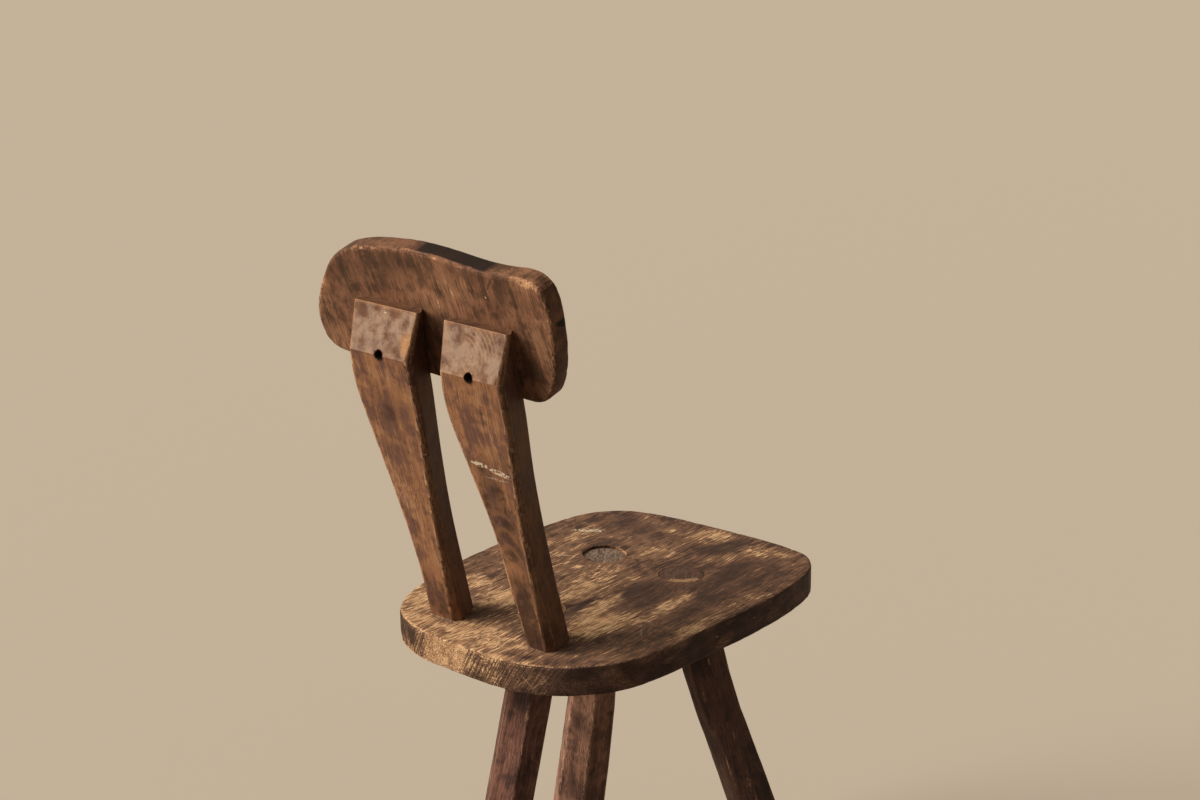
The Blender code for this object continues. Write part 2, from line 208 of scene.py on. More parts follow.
def stained_wood(name, axis, streak, tones, level, edge_wear, blotch, grain):
    """Hardwood under a worn dark stain, with its grain along the axis.

    streak is the width and length in mm of the rubbed streaks, and blotch the size of the
    clouds in the stain. tones are pooled, plain and thin stain, then weathered and fresh
    wood. level is how easily the stain gives way, edge_wear how much more so on the
    arrises, and grain the strength of the fine grain. Returns the material, its
    coordinates, and the colour, the height and the roughness for coat().
    """
    mat = bpy.data.materials.new(name)
    mat.use_nodes = True
    tree = mat.node_tree
    coords = add(tree, "ShaderNodeTexCoord", {}, out="Object")

    # The grain wanders by a few millimetres over 70 mm
    wander = add(tree, "ShaderNodeTexNoise", {
        "Vector": coords, "Scale": 1 / (70 * MM), "Detail": 1.0}, out=1)
    wander = add(tree, "ShaderNodeVectorMath", {0: wander, 1: (0.5, 0.5, 0.5)}, operation='SUBTRACT')
    bent = add(tree, "ShaderNodeVectorMath", {0: wander, 1: (12 * MM,) * 3, 2: coords},
               operation='MULTIPLY_ADD')
    turn = Vector(axis).to_track_quat('Z', 'Y').inverted().to_euler()
    along_grain = add(tree, "ShaderNodeMapping", {"Vector": bent, "Rotation": turn})

    # Four layers drawn out along the grain. Real pores are 0.2 mm wide and real fibres
    # finer: both are drawn about 1 mm wide, so that they show
    width, length = streak
    layers = []
    for across, along, detail in (
            (width, length, 4.0), (width * 0.5, length, 3.0), (width * 0.5, length * 0.5, 1.0),
            (width * 5, length * 4, 3.0)):
        local = add(tree, "ShaderNodeMapping", {
            "Vector": along_grain, "Scale": (1 / (across * MM), 1 / (across * MM), 1 / (along * MM))})
        layers.append(add(tree, "ShaderNodeTexNoise", {
            "Vector": local, "Scale": 1.0, "Detail": detail, "Roughness": 0.55}))
    streaks, fibres, pores, bands = layers
    clumps = add(tree, "ShaderNodeTexNoise", {
        "Vector": along_grain, "Scale": 1 / (blotch * MM), "Detail": 4.0, "Roughness": 0.6})
    clouds = add(tree, "ShaderNodeTexNoise", {
        "Vector": coords, "Scale": 1 / (3.5 * blotch * MM), "Detail": 2.0, "Roughness": 0.5})
    # The third attribute holds dirt, and on some pieces painted shade as well
    worn, edge, dirt_and_shade = (add(tree, "ShaderNodeAttribute", {}, out="Fac", attribute_name=attribute)
                        for attribute in ("worn", "edge", "dirt_and_shade"))

    # The arrises' wear is drawn in to a thin line
    edge = add(tree, "ShaderNodeMath", {0: edge, 1: 7.0}, operation='POWER')

    # How far the stain is rubbed away, from broad wear down to single fibres; 0.6 is bare
    weights = (
        (clouds, 0.7), (clumps, 1.0), (bands, 0.8), (streaks, 1.7 * grain), (fibres, 1.3 * grain),
        (worn, 1.0), (dirt_and_shade, -0.6), (edge, edge_wear))
    rubbed = level - sum(weight for _, weight in weights[:5]) / 2
    for value, weight in weights:
        rubbed = add(tree, "ShaderNodeMath", {0: value, 1: weight, 2: rubbed}, operation='MULTIPLY_ADD')

    # Stain: pooled in clouds and bands, thin where it starts to go, blackened by dirt and, on some
    # pieces, by painted shade
    tone = add(tree, "ShaderNodeMath", {0: bands, 1: clumps}, operation='ADD')
    tone = add(tree, "ShaderNodeMath", {0: clouds, 1: tone}, operation='ADD')
    colour = lay(tree, linear(tones[0]), linear(tones[1]), tone, 1.25, 1.7)
    colour = lay(tree, colour, linear(tones[2]), rubbed, -0.1, 0.5)
    soot_and_shade = add(tree, "ShaderNodeMath", {0: dirt_and_shade, 1: 0.5, 2: clumps}, operation='MULTIPLY_ADD')
    colour = lay(tree, colour, linear("30241f"), soot_and_shade, 0.6, 1.05, 0.82)

    # Bare wood: weathered and fresh fibres
    fibre_tone = add(tree, "ShaderNodeMath", {0: fibres, 1: clumps}, operation='ADD')
    raw = lay(tree, linear(tones[3]), linear(tones[4]), fibre_tone, 0.8, 1.2)
    colour = lay(tree, colour, raw, rubbed, 0.56, 0.68)

    # Fine lines of the grain, and open pores: short dark dashes that hold dirt
    lines = add(tree, "ShaderNodeMapRange", {
        "Value": fibres, "From Min": 0.34, "From Max": 0.66, "To Min": 0.4, "To Max": 1.6})
    colour = add(tree, "ShaderNodeMix", {0: grain * 0.55, 6: colour, 7: lines},
                 out=2, data_type='RGBA', blend_type='MULTIPLY')
    pore_from, pore_to = 0.57, 0.66
    colour = lay(tree, colour, linear("31241e"), pores, pore_from, pore_to, 0.6 * grain)

    # Pores and bare wood lie lower than the stain
    height = fibres
    for pattern, low, high, weight in ((pores, pore_from, pore_to, -0.6), (rubbed, 0.5, 0.75, -0.4)):
        hollow = add(tree, "ShaderNodeMapRange", {"Value": pattern, "From Min": low, "From Max": high},
                     interpolation_type='SMOOTHSTEP')
        height = add(tree, "ShaderNodeMath", {0: hollow, 1: weight, 2: height},
                     operation='MULTIPLY_ADD')
    shine = add(tree, "ShaderNodeMapRange", {
        "Value": rubbed, "From Min": -0.2, "From Max": 0.8, "To Min": 0.58, "To Max": 0.85})
    return mat, coords, colour, height, shine


def coat(mat, colour, height, shine, relief):
    """Lay the colour, the roughness and the relief, in mm, on the wood. Old oil reflects little."""
    tree = mat.node_tree
    shader = tree.nodes["Principled BSDF"]
    shader.inputs["IOR"].default_value = 1.45
    shader.inputs["Specular IOR Level"].default_value = 0.1
    tree.links.new(colour, shader.inputs["Base Color"])
    tree.links.new(shine, shader.inputs["Roughness"])
    bump = add(tree, "ShaderNodeBump", {"Height": height, "Strength": 1.0, "Distance": relief * MM})
    tree.links.new(bump, shader.inputs["Normal"])


# Where the top is rubbed bare: x, y, half sizes in mm, turn in degrees, strength
SEAT_WORN = [
    (4, 152, 52, 32, 0, 0.75), (60, 176, 60, 7, 8, 0.4), (-60, 168, 40, 6, 12, 0.4),
    (100, 110, 34, 32, 20, 0.95), (92, 158, 36, 16, 0, 0.9), (96, 48, 20, 14, 0, 0.5),
    (50, 66, 18, 22, 10, 0.6), (-68, 58, 23, 42, -8, 0.95), (-38, 25, 11, 40, 6, 0.8),
    (-88, -22, 9, 44, 4, 0.65), (0, 8, 22, 32, 0, 0.5), (14, -38, 36, 30, 0, 0.3),
    (-138, 2, 11, 38, 0, 0.55), (-137, -72, 10, 36, 0, 0.35), (112, -52, 34, 36, 0, 0.22),
    (101, -112, 17, 26, 0, 0.4), (-8, -192, 24, 22, 0, 0.7), (-69, -188, 17, 18, 0, 0.6),
    (-93, -198, 10, 10, 0, 0.5), (-52, -148, 17, 17, 0, 0.3), (37, -178, 7, 11, 0, 0.45),
    (112, -167, 9, 10, 0, 0.3), (6, -118, 28, 22, 0, 0.25), (-112, 100, 24, 44, 0, 0.22),
    (60, -10, 80, 110, 0, 0.14), (30, 90, 50, 40, 0, 0.2), (-47, -38, 3, 26, 0, 0.4),
    (70, -190, 20, 8, 0, 0.25),
]
# Where the stain is thick and dirty
SEAT_DARK = [
    (-50, -40, 26, 40, 0, 0.6), (-112, -40, 11, 60, 0, 0.6), (-118, 90, 30, 60, 0, 0.1),
    (-12, -182, 7, 6, 0, 0.8), (-38, -178, 12, 30, 0, 0.7), (20, -160, 50, 14, 0, 0.3),
    (90, -165, 40, 24, 0, 0.35), (-95, -140, 34, 40, 0, 0.5), (-22, 30, 4, 26, 12, 0.8),
    (-75, 65, 10, 30, -12, 0.2), (-39, -96, 8, 12, 0, 0.5), (-85, -90, 16, 30, 0, 0.5),
]
# The back edge, by x and height: bare from the sitter's left to the middle, and sawn
EDGE_WORN = [
    (24, 417, 36, 19, 0, 1.0), (-28, 419, 22, 15, 0, 0.6), (-72, 416, 26, 8, 0, 0.2),
    (84, 404, 36, 6, 0, 0.7), (105, 413, 34, 18, 0, 0.4), (0, 429, 90, 4, 0, 0.3),
]
EDGE_DARK = [
    (88, 422, 28, 9, 0, 0.4), (47, 424, 12, 7, 0, 0.5), (-28, 422, 20, 8, 0, 0.4),
    (-75, 420, 28, 20, 0, 0.3),
]
EDGE_SAWN = [
    (90, 415, 34, 40, 0, 1.0), (12, 415, 50, 40, 0, 0.15), (-30, 416, 24, 40, 0, 0.6),
    (-80, 415, 30, 40, 0, 0.3),
]
RIGHT_SIDE = -95.0                       # past this x the arris is less rubbed
CHIP = (-137.0, -12.0, SEAT_UNDERSIDE)   # out of the lower arris
CHIP_SIZE = (6, 6, 4)
CHIP_DEPTH = 3.5
ROUNDING_DEPTH = 1.6                     # of the lower arris at the back left corner
TENON_RADIUS = 21.3
FLUSH_TENON = (-46.5, -90.9)
BACK_TENON = (0.0, 63.1)

seat_mesh = finer_copy("seat", "seat_plank", 3.0)
at = places(seat_mesh)
facing = places(seat_mesh, "normal")
edge = get_values(seat_mesh, "edge")
for x, y in (FLUSH_TENON, BACK_TENON):
    edge = np.where(np.hypot(at[:, 0] - x, at[:, 1] - y) < TENON_RADIUS + 8, 0, edge)
edge *= np.where(at[:, 0] < RIGHT_SIDE, 0.55, 1.0)
set_values(seat_mesh, "edge", edge)
wall = np.abs(facing[:, 2]) < 0.6
back_edge = np.clip(facing[:, 1] * 1.6, 0, 1) * wall
wall_worn = back_edge * patches(at[:, 0], at[:, 2], EDGE_WORN)
worn = np.where(wall, wall_worn, patches(at[:, 0], at[:, 1], SEAT_WORN))
set_values(seat_mesh, "worn", np.where(at[:, 2] < SEAT_UNDERSIDE + 0.5, 0, worn))
# Painted shade: the wall on the sitter's right, which faces away from the light, is darkened; the back
# edge's dark patches are dirt
right_wall_shade = np.clip((-88 - at[:, 0]) / 20, 0, 1)
wall_dirt_and_shade = right_wall_shade * (0.75 + 0.5 * mottle(at, (16, 22, 10), 5))
wall_dirt_and_shade += back_edge * patches(at[:, 0], at[:, 2], EDGE_DARK)
set_values(seat_mesh, "dirt_and_shade", np.where(wall, wall_dirt_and_shade, patches(at[:, 0], at[:, 1], SEAT_DARK)))
set_values(seat_mesh, "end_grain", back_edge * patches(at[:, 0], at[:, 2], EDGE_SAWN))
soften(seat_mesh, edge * np.clip(0.25 + 0.4 * mottle(at, (22, 22, 9), 1), 0, 0.7), 2)
depth = 0.25 * (1 + mottle(at, (50, 90, 50), 2)) + 0.10 * (1 + mottle(at, (9, 40, 9), 3))
depth += edge * 0.6 * np.clip(mottle(at, (13, 13, 6), 4), 0, 1)
depth += CHIP_DEPTH * np.exp(-np.sum(((at - CHIP) / CHIP_SIZE) ** 2, axis=1))
near_underside = np.clip(1 - (at[:, 2] - SEAT_UNDERSIDE) / 7, 0, 1)
left_corner = np.clip((at[:, 0] - 20) / 60, 0, 1) * back_edge
press_in(seat_mesh, depth + ROUNDING_DEPTH * near_underside * left_corner)

# Oiled hardwood: satin brown where the stain holds, dry and matt tan where it is gone
seat_mat, coords, colour, height, shine = stained_wood(
    "seat_hardwood_worn_stain", (0, 1, 0), (2.1, 24),
    ("4f3a31", "745442", "8e6a50", "a87c57", "dbaf82"), 0.13, 0.5, 12.0, 1.05)
tree = seat_mat.node_tree
# Saw marks on the end grain: fine lines 1.7 mm apart that lean, and at the corner cross
end_grain = add(tree, "ShaderNodeAttribute", {}, out="Fac", attribute_name="end_grain")
for lean, weight, sawn_from in ((28, 0.72, 0.05), (-32, 0.7, 0.6)):
    local = add(tree, "ShaderNodeMapping", {"Vector": coords, "Rotation": (0, math.radians(lean), 0)})
    local = add(tree, "ShaderNodeMapping", {
        "Vector": local, "Scale": (1 / (1.7 * MM), 1 / (90 * MM), 1 / (40 * MM))})
    lines = add(tree, "ShaderNodeTexNoise", {"Vector": local, "Scale": 1.0, "Detail": 2.0})
    cuts = add(tree, "ShaderNodeMapRange", {
        "Value": lines, "From Min": 0.45, "From Max": 0.56, "To Max": weight},
        interpolation_type='SMOOTHSTEP')
    sawn_here = add(tree, "ShaderNodeMapRange", {
        "Value": end_grain, "From Min": sawn_from, "From Max": sawn_from + 0.35},
        interpolation_type='SMOOTHSTEP')
    share = add(tree, "ShaderNodeMath", {0: cuts, 1: sawn_here}, operation='MULTIPLY')
    colour = add(tree, "ShaderNodeMix", {0: share, 6: colour, 7: linear("3b2a20")},
                 out=2, data_type='RGBA')
    height = add(tree, "ShaderNodeMath", {0: share, 1: -1.2, 2: height}, operation='MULTIPLY_ADD')
# Pale scratches, most of them across the grain, and two specks on the right wall
ragged = add(tree, "ShaderNodeTexNoise", {
    "Vector": coords, "Scale": 1 / (3 * MM), "Detail": 5.0, "Roughness": 0.7})
ragged = add(tree, "ShaderNodeMapRange", {"Value": ragged, "From Min": 0.35, "From Max": 0.65},
             interpolation_type='SMOOTHSTEP')
for centre, half, turn, strength in (
        ((101, -126, SEAT_TOP), (25, 6.5, 3), 37, 1.0), ((75, -57, SEAT_TOP), (9, 1.6, 3), 35, 0.8),
        ((-104, 43, SEAT_TOP), (20, 1.2, 3), -51, 0.45), ((-20, 150, SEAT_TOP), (18, 1.2, 3), -60, 0.5),
        ((61.5, 139, SEAT_TOP), (24, 2.4, 3), 0, 0.9), ((-58, 139, SEAT_TOP), (15, 1.6, 3), 0, 0.6),
        ((-149, -72, 418), (4, 2.2, 1.6), 0, 1.0), ((-149, -15, 416), (4, 2.6, 1.4), 0, 1.0)):
    ridge = add(tree, "ShaderNodeMath", {
        0: spot(tree, coords, centre, half, turn), 1: ragged}, operation='MULTIPLY')
    colour = lay(tree, colour, linear("d3bb9c"), ridge, 0.1, 0.3, strength)
# Scores in the dark end of the back edge, crossing each other
for x, lean in ((-74, 42), (-70, -48), (-84, -50)):
    score = spot(tree, coords, (x, 168, 412), (1.0, 30, 14), lean, 1)
    colour = lay(tree, colour, linear("b08a66"), score, 0.1, 0.6, 0.5)
# Dark crack along the grain, right of the middle
crack = spot(tree, coords, (-21, 22, SEAT_TOP), (1.8, 40, 3), -18)
colour = lay(tree, colour, linear("241914"), crack, 0.1, 0.6, 0.75)
coat(seat_mat, colour, height, shine, 0.4)
show(seat_mesh, "seat", seat_mat)

# Legs: three poles of the same hardwood, hewn to facets with a drawknife, each with a round
# tenon driven up through the seat. Their reddish stain is darker than the seat's.
LEG_AXES = {
    "leg_back": (0.003, 0.2975, -1), "leg_front_left": (0.2437, -0.161, -1),
    "leg_front_right": (-0.2434, -0.1585, -1)}
LEG_TONES = {
    "leg_back": ("44302a", "7a5344", "8f6957", "93684f", "b78e69"),
    "leg_front_left": ("5e4439", "966d57", "a87e67", "ae8266", "c79f7c"),
    "leg_front_right": ("41322c", "64483b", "70503f", "96684c", "b28460")}
END_TONES = {                # dark and light of the tenon's end grain
    "leg_back": ("6a4937", "a47a55"), "leg_front_left": ("54443a", "927a66"),
    "leg_front_right": ("4f3c32", "6c4f3f")}
BEND_HEIGHT = 355.0          # the front right leg is rubbed from its bend up
for number, (node, axis) in enumerate(LEG_AXES.items()):
    mesh = finer_copy(node, node + "_pole", 4.0)
    at = places(mesh)
    facing = places(mesh, "normal")
    body = at[:, 2] < SEAT_UNDERSIDE - 1
    tenon_end = (at[:, 2] > SEAT_TOP - 6) & (facing[:, 2] > 0.9)
    worn = 0.25 * np.clip(mottle(at, (20, 20, 60), 10 + number), 0, 1)
    if node == "leg_front_right":
        worn += 0.7 * np.clip((at[:, 2] - BEND_HEIGHT) / 40, 0, 1) * np.clip(facing[:, 0] * 2, 0, 1)
    # A light crescent on the tenon that is flush with the seat
    rim = ((at[:, 1] - FLUSH_TENON[1]) * 0.7 - (at[:, 0] - FLUSH_TENON[0]) * 0.7) / TENON_RADIUS
    set_values(mesh, "worn", np.where(body, worn, np.clip(rim * 1.4 - 0.2, 0, 1)))
    set_values(mesh, "dirt_and_shade", 0.8 * np.clip(mottle(at, (14, 14, 70), 20 + number), 0, 1) * body)
    set_values(mesh, "end_grain", tenon_end * 1.0)
    depth = 0.25 * (1 + mottle(at, (14, 14, 60), 30 + number))
    depth += 0.1 * (1 + mottle(at, (5, 5, 20), 40 + number))
    press_in(mesh, np.where(body & (at[:, 2] > 2), depth, 0))

    # Hewn hardwood: long facets that are nearly matt, reddish brown, with dark streaks
    # along the grain and paler wood where hands and shoes rubbed the arrises
    mat, coords, colour, height, shine = stained_wood(
        node + "_hewn_hardwood", axis, (1.8, 34), LEG_TONES[node], -0.3, 0.75, 11.0, 0.9)
    tree = mat.node_tree
    if node == "leg_back":
        scratch = spot(tree, coords, (12, 112, 272), (12, 30, 1.4), -12, 1)
        colour = lay(tree, colour, linear("c4a384"), scratch, 0.2, 0.5, 0.6)
    # The end of the tenon: end grain with dark crooked marks
    end_grain = add(tree, "ShaderNodeAttribute", {}, out="Fac", attribute_name="end_grain")
    local = add(tree, "ShaderNodeMapping", {"Vector": coords, "Rotation": (0, 0, math.radians(-35))})
    local = add(tree, "ShaderNodeMapping", {
        "Vector": local, "Scale": (1 / (2 * MM), 1 / (7 * MM), 1.0)})
    marks = add(tree, "ShaderNodeTexNoise", {
        "Vector": local, "Scale": 1.0, "Detail": 3.0, "Distortion": 1.2})
    end_dark, end_light = END_TONES[node]
    end_colour = lay(tree, linear(end_dark), linear(end_light), marks, 0.4, 0.56)
    if node == "leg_front_right":
        crescent = add(tree, "ShaderNodeAttribute", {}, out="Fac", attribute_name="worn")
        crescent = add(tree, "ShaderNodeMath", {0: marks, 1: 1.6, 2: crescent},
                       operation='MULTIPLY_ADD')
        end_colour = lay(tree, end_colour, linear("b48b66"), crescent, 1.25, 1.5)
    colour = add(tree, "ShaderNodeMix", {0: end_grain, 6: colour, 7: end_colour},
                 out=2, data_type='RGBA')
    coat(mat, colour, height, shine, 0.2)
    show(mesh, node, mat)

# Posts: two leaning billets of the same hardwood, hewn, with a sloping facet cut across the
# head. Their stain is thin and orange-brown, smudged with dirt from hands.
LEAN = 0.2875                # how far they lean back for each unit of height
RIDGE_HEIGHT = 709.5         # lower end of the head facet
TOP_FROM = 752.0             # here the posts' sawn top ends begin
HEAD_FACING = (0, 0.973, 0.232)
HOLE_RADIUS = 5.0
HOLES = {"post_left": (54.4, 710.0), "post_right": (-53.9, 710.0)}
# Smudges and rubbed places of the back faces: x, height, half sizes, turn, strength
POST_DARK = {
    "post_left": [
        (62, 650, 12, 20, 0, 0.5), (73, 672, 8, 12, 0, 0.35), (70, 450, 40, 36, 0, 0.75),
        (90, 600, 5, 30, 0, 0.3), (60, 760, 8, 12, 30, 0.8), (82, 750, 18, 16, 0, 0.5)],
    "post_right": [
        (-59, 678, 4, 4, 0, 0.9), (-86, 668, 6, 34, 0, 0.6), (-55, 450, 36, 32, 0, 1.5),
        (-50, 490, 14, 22, 0, 0.6), (-50, 585, 18, 50, 0, 0.7), (-66, 530, 16, 50, 0, 0.55)]}
POST_WORN = {
    "post_left": [
        (89, 616, 12, 22, 0, 0.3), (80, 585, 16, 18, 0, 0.3), (70, 550, 14, 34, 0, 0.35),
        (22, 724, 13, 14, 0, 0.8), (60, 690, 20, 8, 0, 0.2)],
    "post_right": [
        (-60, 650, 20, 24, 0, 0.25), (-47, 473, 5, 9, 0, 0.6), (-62, 697, 8, 10, 0, 0.3)]}


def rings(tree, coords, centre, pitch, stretch, shown_at, reach, strength):
    """Growth rings round a centre, as lines this many mm apart, stretched along z.

    They show only within reach of another place.
    """
    local = add(tree, "ShaderNodeMapping", {
        "Vector": coords, "Location": [c * MM for c in centre],
        "Scale": (pitch * MM, 1.0, pitch * stretch * MM)}, vector_type='TEXTURE')
    waves = add(tree, "ShaderNodeTexWave", {
        "Vector": local, "Scale": math.tau / 20, "Distortion": 2.2, "Detail": 3.0, "Detail Scale": 0.6},
        out=1, wave_type='RINGS', rings_direction='SPHERICAL')
    lines = add(tree, "ShaderNodeMapRange", {"Value": waves, "From Min": 0.5, "From Max": 1.0},
                interpolation_type='SMOOTHSTEP')
    shown = add(tree, "ShaderNodeMapRange", {
        "Value": spot(tree, coords, shown_at, reach), "From Min": 0.0, "From Max": 0.5,
        "To Max": strength}, interpolation_type='SMOOTHSTEP')
    return add(tree, "ShaderNodeMath", {0: lines, 1: shown}, operation='MULTIPLY')


for number, (node, hole) in enumerate(HOLES.items()):
    mesh = finer_copy(node, node + "_billet", 3.2)
    at = places(mesh)
    edge = get_values(mesh, "edge")
    facing = places(mesh, "normal")
    body = at[:, 2] > SEAT_TOP + 1
    hole_shade = np.hypot(at[:, 0] - hole[0], (at[:, 2] - hole[1]) * 1.05) < HOLE_RADIUS + 0.4
    head = (facing @ np.array(HEAD_FACING) > 0.985) & (at[:, 2] > RIDGE_HEIGHT)
    back = np.clip(facing[:, 1] * 2 - 1, 0, 1)
    set_values(mesh, "worn", back * patches(at[:, 0], at[:, 2], POST_WORN[node]))
    smudges = 0.3 * np.clip(mottle(at, (12, 12, 26), 60 + number), 0, 1)
    smudges += back * patches(at[:, 0], at[:, 2], POST_DARK[node])
    # Painted shade: inside the counterbores the wood is set fully dark
    set_values(mesh, "dirt_and_shade", np.where(hole_shade & ~head, 1.0, smudges * (1 - 0.5 * edge)))
    set_values(mesh, "edge", edge * body * ~hole_shade)
    set_values(mesh, "head", averaged(mesh, head * 1.0, 1))
    set_values(mesh, "hole_shade", hole_shade & (facing[:, 1] < 0.5))
    # Painted shade, kept by face, so that the darkened faces stop sharply at the arrises
    face_normals = np.zeros(len(mesh.polygons) * 3)
    mesh.polygons.foreach_get("normal", face_normals)
    side_shade = np.clip(2 - 2 * face_normals.reshape(-1, 3)[:, 1], 0, 1)
    mesh.attributes.new("side_shade", 'FLOAT', 'FACE').data.foreach_set("value", side_shade.astype(np.float32))
    depth = 0.12 * (1 + mottle(at, (14, 14, 50), 70 + number))
    top_end = np.clip((at[:, 2] - TOP_FROM) / 2.5, 0, 1)
    depth += top_end * 0.5 * (1 + mottle(at, (5, 5, 5), 75 + number))
    press_in(mesh, np.where(body & ~hole_shade, depth * (1 - 0.8 * edge), 0))

    # Hewn hardwood under a thin stain: warm orange-brown with soft grey smudges, nearly
    # matt, and thin pale lines where the arrises are rubbed
    mat, coords, colour, height, shine = stained_wood(
        node + "_hewn_hardwood", (0, LEAN, 1), (1.5, 30),
        ("785444", "a5734f", "b3845f", "b58462", "cf9e73"), -0.08, 0.85, 10.0, 0.65)
    tree = mat.node_tree
    # Painted shade: every face that does not face back is darkened towards near black
    side_shade = add(tree, "ShaderNodeAttribute", {}, out="Fac", attribute_name="side_shade")
    share = add(tree, "ShaderNodeMath", {0: side_shade, 1: 0.62}, operation='MULTIPLY')
    colour = add(tree, "ShaderNodeMix", {0: share, 6: colour, 7: linear("33231c")},
                 out=2, data_type='RGBA')
    # Head facet: cut across the grain, so it went grey-brown
    head = add(tree, "ShaderNodeAttribute", {}, out="Fac", attribute_name="head")
    dirt_and_hole_shade = add(tree, "ShaderNodeAttribute", {}, out="Fac", attribute_name="dirt_and_shade")
    blots = add(tree, "ShaderNodeTexNoise", {
        "Vector": coords, "Scale": 1 / (13 * MM), "Detail": 4.0, "Roughness": 0.6})
    blots = add(tree, "ShaderNodeMath", {0: dirt_and_hole_shade, 1: -0.25, 2: blots}, operation='MULTIPLY_ADD')
    head_tone = lay(tree, linear("664838"), linear("b3967e"), blots, 0.3, 0.62)
    rubbed = add(tree, "ShaderNodeAttribute", {}, out="Fac", attribute_name="worn")
    rubbed = add(tree, "ShaderNodeMath", {0: rubbed, 1: blots}, operation='MULTIPLY')
    head_tone = lay(tree, head_tone, linear("bd8452"), rubbed, 0.15, 0.45, 0.8)
    if node == "post_left":
        speck = spot(tree, coords, (53, 212, 748), (2.2, 8, 1.2))
        head_tone = lay(tree, head_tone, linear("d8c6ae"), speck, 0.1, 0.5, 0.9)
    else:
        share = rings(tree, coords, (-40, 225, 722), 4.2, 1.0, (-62, 228, 744), (26, 60, 24), 0.5)
        head_tone = add(tree, "ShaderNodeMix", {0: share, 6: head_tone, 7: linear("c09c7c")},
                        out=2, data_type='RGBA')
    share = add(tree, "ShaderNodeMath", {0: head, 1: 0.7}, operation='MULTIPLY')
    colour = add(tree, "ShaderNodeMix", {0: share, 6: colour, 7: head_tone}, out=2, data_type='RGBA')
    if node == "post_right":
        # Growth rings cut at a slant show as nested arches low on the post
        share = rings(tree, coords, (-53, 150, 400), 4.6, 4.0, (-53, 176, 545), (20, 60, 50), 0.28)
        colour = add(tree, "ShaderNodeMix", {0: share, 6: colour, 7: linear("b27a50")},
                     out=2, data_type='RGBA')
        # Pale scratches across the middle
        ragged = add(tree, "ShaderNodeTexNoise", {
            "Vector": coords, "Scale": 1 / (2.2 * MM), "Detail": 4.0})
        ragged = add(tree, "ShaderNodeMapRange", {"Value": ragged, "From Min": 0.4, "From Max": 0.6},
                     interpolation_type='SMOOTHSTEP')
        for centre, half, turn, strength in (
                ((-42, 195.5, 622), (14, 8, 3.4), -4, 1.0), ((-66, 194.5, 618), (17, 8, 3.6), -8, 1.0),
                ((-60, 192, 611), (18, 8, 1.6), 2, 0.4)):
            ridge = add(tree, "ShaderNodeMath", {
                0: spot(tree, coords, centre, half, turn, 1), 1: ragged}, operation='MULTIPLY')
            colour = lay(tree, colour, linear("d8c0a2"), ridge, 0.12, 0.3, strength)
    # Painted shade: the walls of the counterbores are coloured near black
    hole_shade = add(tree, "ShaderNodeAttribute", {}, out="Fac", attribute_name="hole_shade")
    colour = add(tree, "ShaderNodeMix", {0: hole_shade, 6: colour, 7: linear("2c1d15")},
                 out=2, data_type='RGBA')
    coat(mat, colour, height, shine, 0.15)
    show(mesh, node, mat)

# Crest board: one flat board with its grain from side to side, cut to a hand-drawn outline
# and screwed to the front faces of the posts. The stain was brushed on from top to bottom.
CREST_DARK = [               # x, height, half sizes, turn, strength
    (129, 782, 20, 16, 30, 0.35), (109, 783, 12, 16, 30, 0.35), (93, 775, 10, 18, 20, 0.35),
    (43, 797, 22, 12, 0, 0.6), (60, 770, 18, 12, 0, 0.4), (-48, 799, 14, 12, 0, 0.45),
    (-77, 781, 8, 26, 20, 0.5), (13, 722, 30, 12, 0, 0.5), (-100, 720, 14, 14, 0, 0.3),
    (0, 745, 14, 12, 0, 0.4), (-105, 782, 20, 8, 20, 0.3),
]
CREST_WORN = [
    (153, 740, 12, 36, 0, 0.35), (148, 700, 14, 16, 0, 0.35), (10, 764, 30, 12, 0, 0.3),
    (-25, 781, 24, 16, 0, 0.3), (-112, 735, 14, 40, 0, 0.25), (-112, 807, 20, 9, 0, 1.3),
    (20, 723, 14, 8, 0, 0.35), (-128, 742, 5, 44, 0, 0.35),
]
# The top edge, by x alone
TOP_DARK = [(-26, 0, 40, 60, 0, 2.0), (60, 0, 60, 60, 0, 0.4), (130, 0, 30, 60, 0, 0.4)]
TOP_WORN = [(-64, 0, 9, 60, 0, 0.4), (-95, 0, 24, 60, 0, 0.1)]
CHAMFER = (-115, 212, 809)   # worn off the back of the upper right corner
CHAMFER_SIZE = (15, 7, 7)
CHAMFER_DEPTH = 2.8
mesh = finer_copy("crest_board", "crest_board_plank", 3.0)
at = places(mesh)
facing = places(mesh, "normal")
edge = get_values(mesh, "edge")
top = facing[:, 2] > 0.5
flat = np.abs(facing[:, 1]) > 0.6
no_height = np.zeros(len(at))
worn = patches(at[:, 0], at[:, 2], CREST_WORN)
top_worn = np.where(top, patches(at[:, 0], no_height, TOP_WORN), 0)
set_values(mesh, "worn", np.where(flat, worn, top_worn))
dirt_and_shade = patches(at[:, 0], at[:, 2], CREST_DARK) + 0.25 * np.clip(mottle(at, (20, 20, 30), 81), 0, 1)
# Painted shade: the ends and the lower edge are darkened; the dark stretch on the top edge is dirt
ends = 0.4 + 0.3 * mottle(at, (14, 14, 20), 83)
rim_dirt_and_shade = np.where(top, patches(at[:, 0], no_height, TOP_DARK), ends)
set_values(mesh, "dirt_and_shade", np.where(flat, dirt_and_shade, rim_dirt_and_shade))
soften(mesh, edge * 0.25, 1)
depth = 0.15 * (1 + mottle(at, (60, 30, 30), 82))
depth += edge * 0.4 * np.clip(mottle(at, (10, 10, 10), 84), 0, 1)
depth += CHAMFER_DEPTH * np.exp(-np.sum(((at - CHAMFER) / CHAMFER_SIZE) ** 2, axis=1))
press_in(mesh, depth)

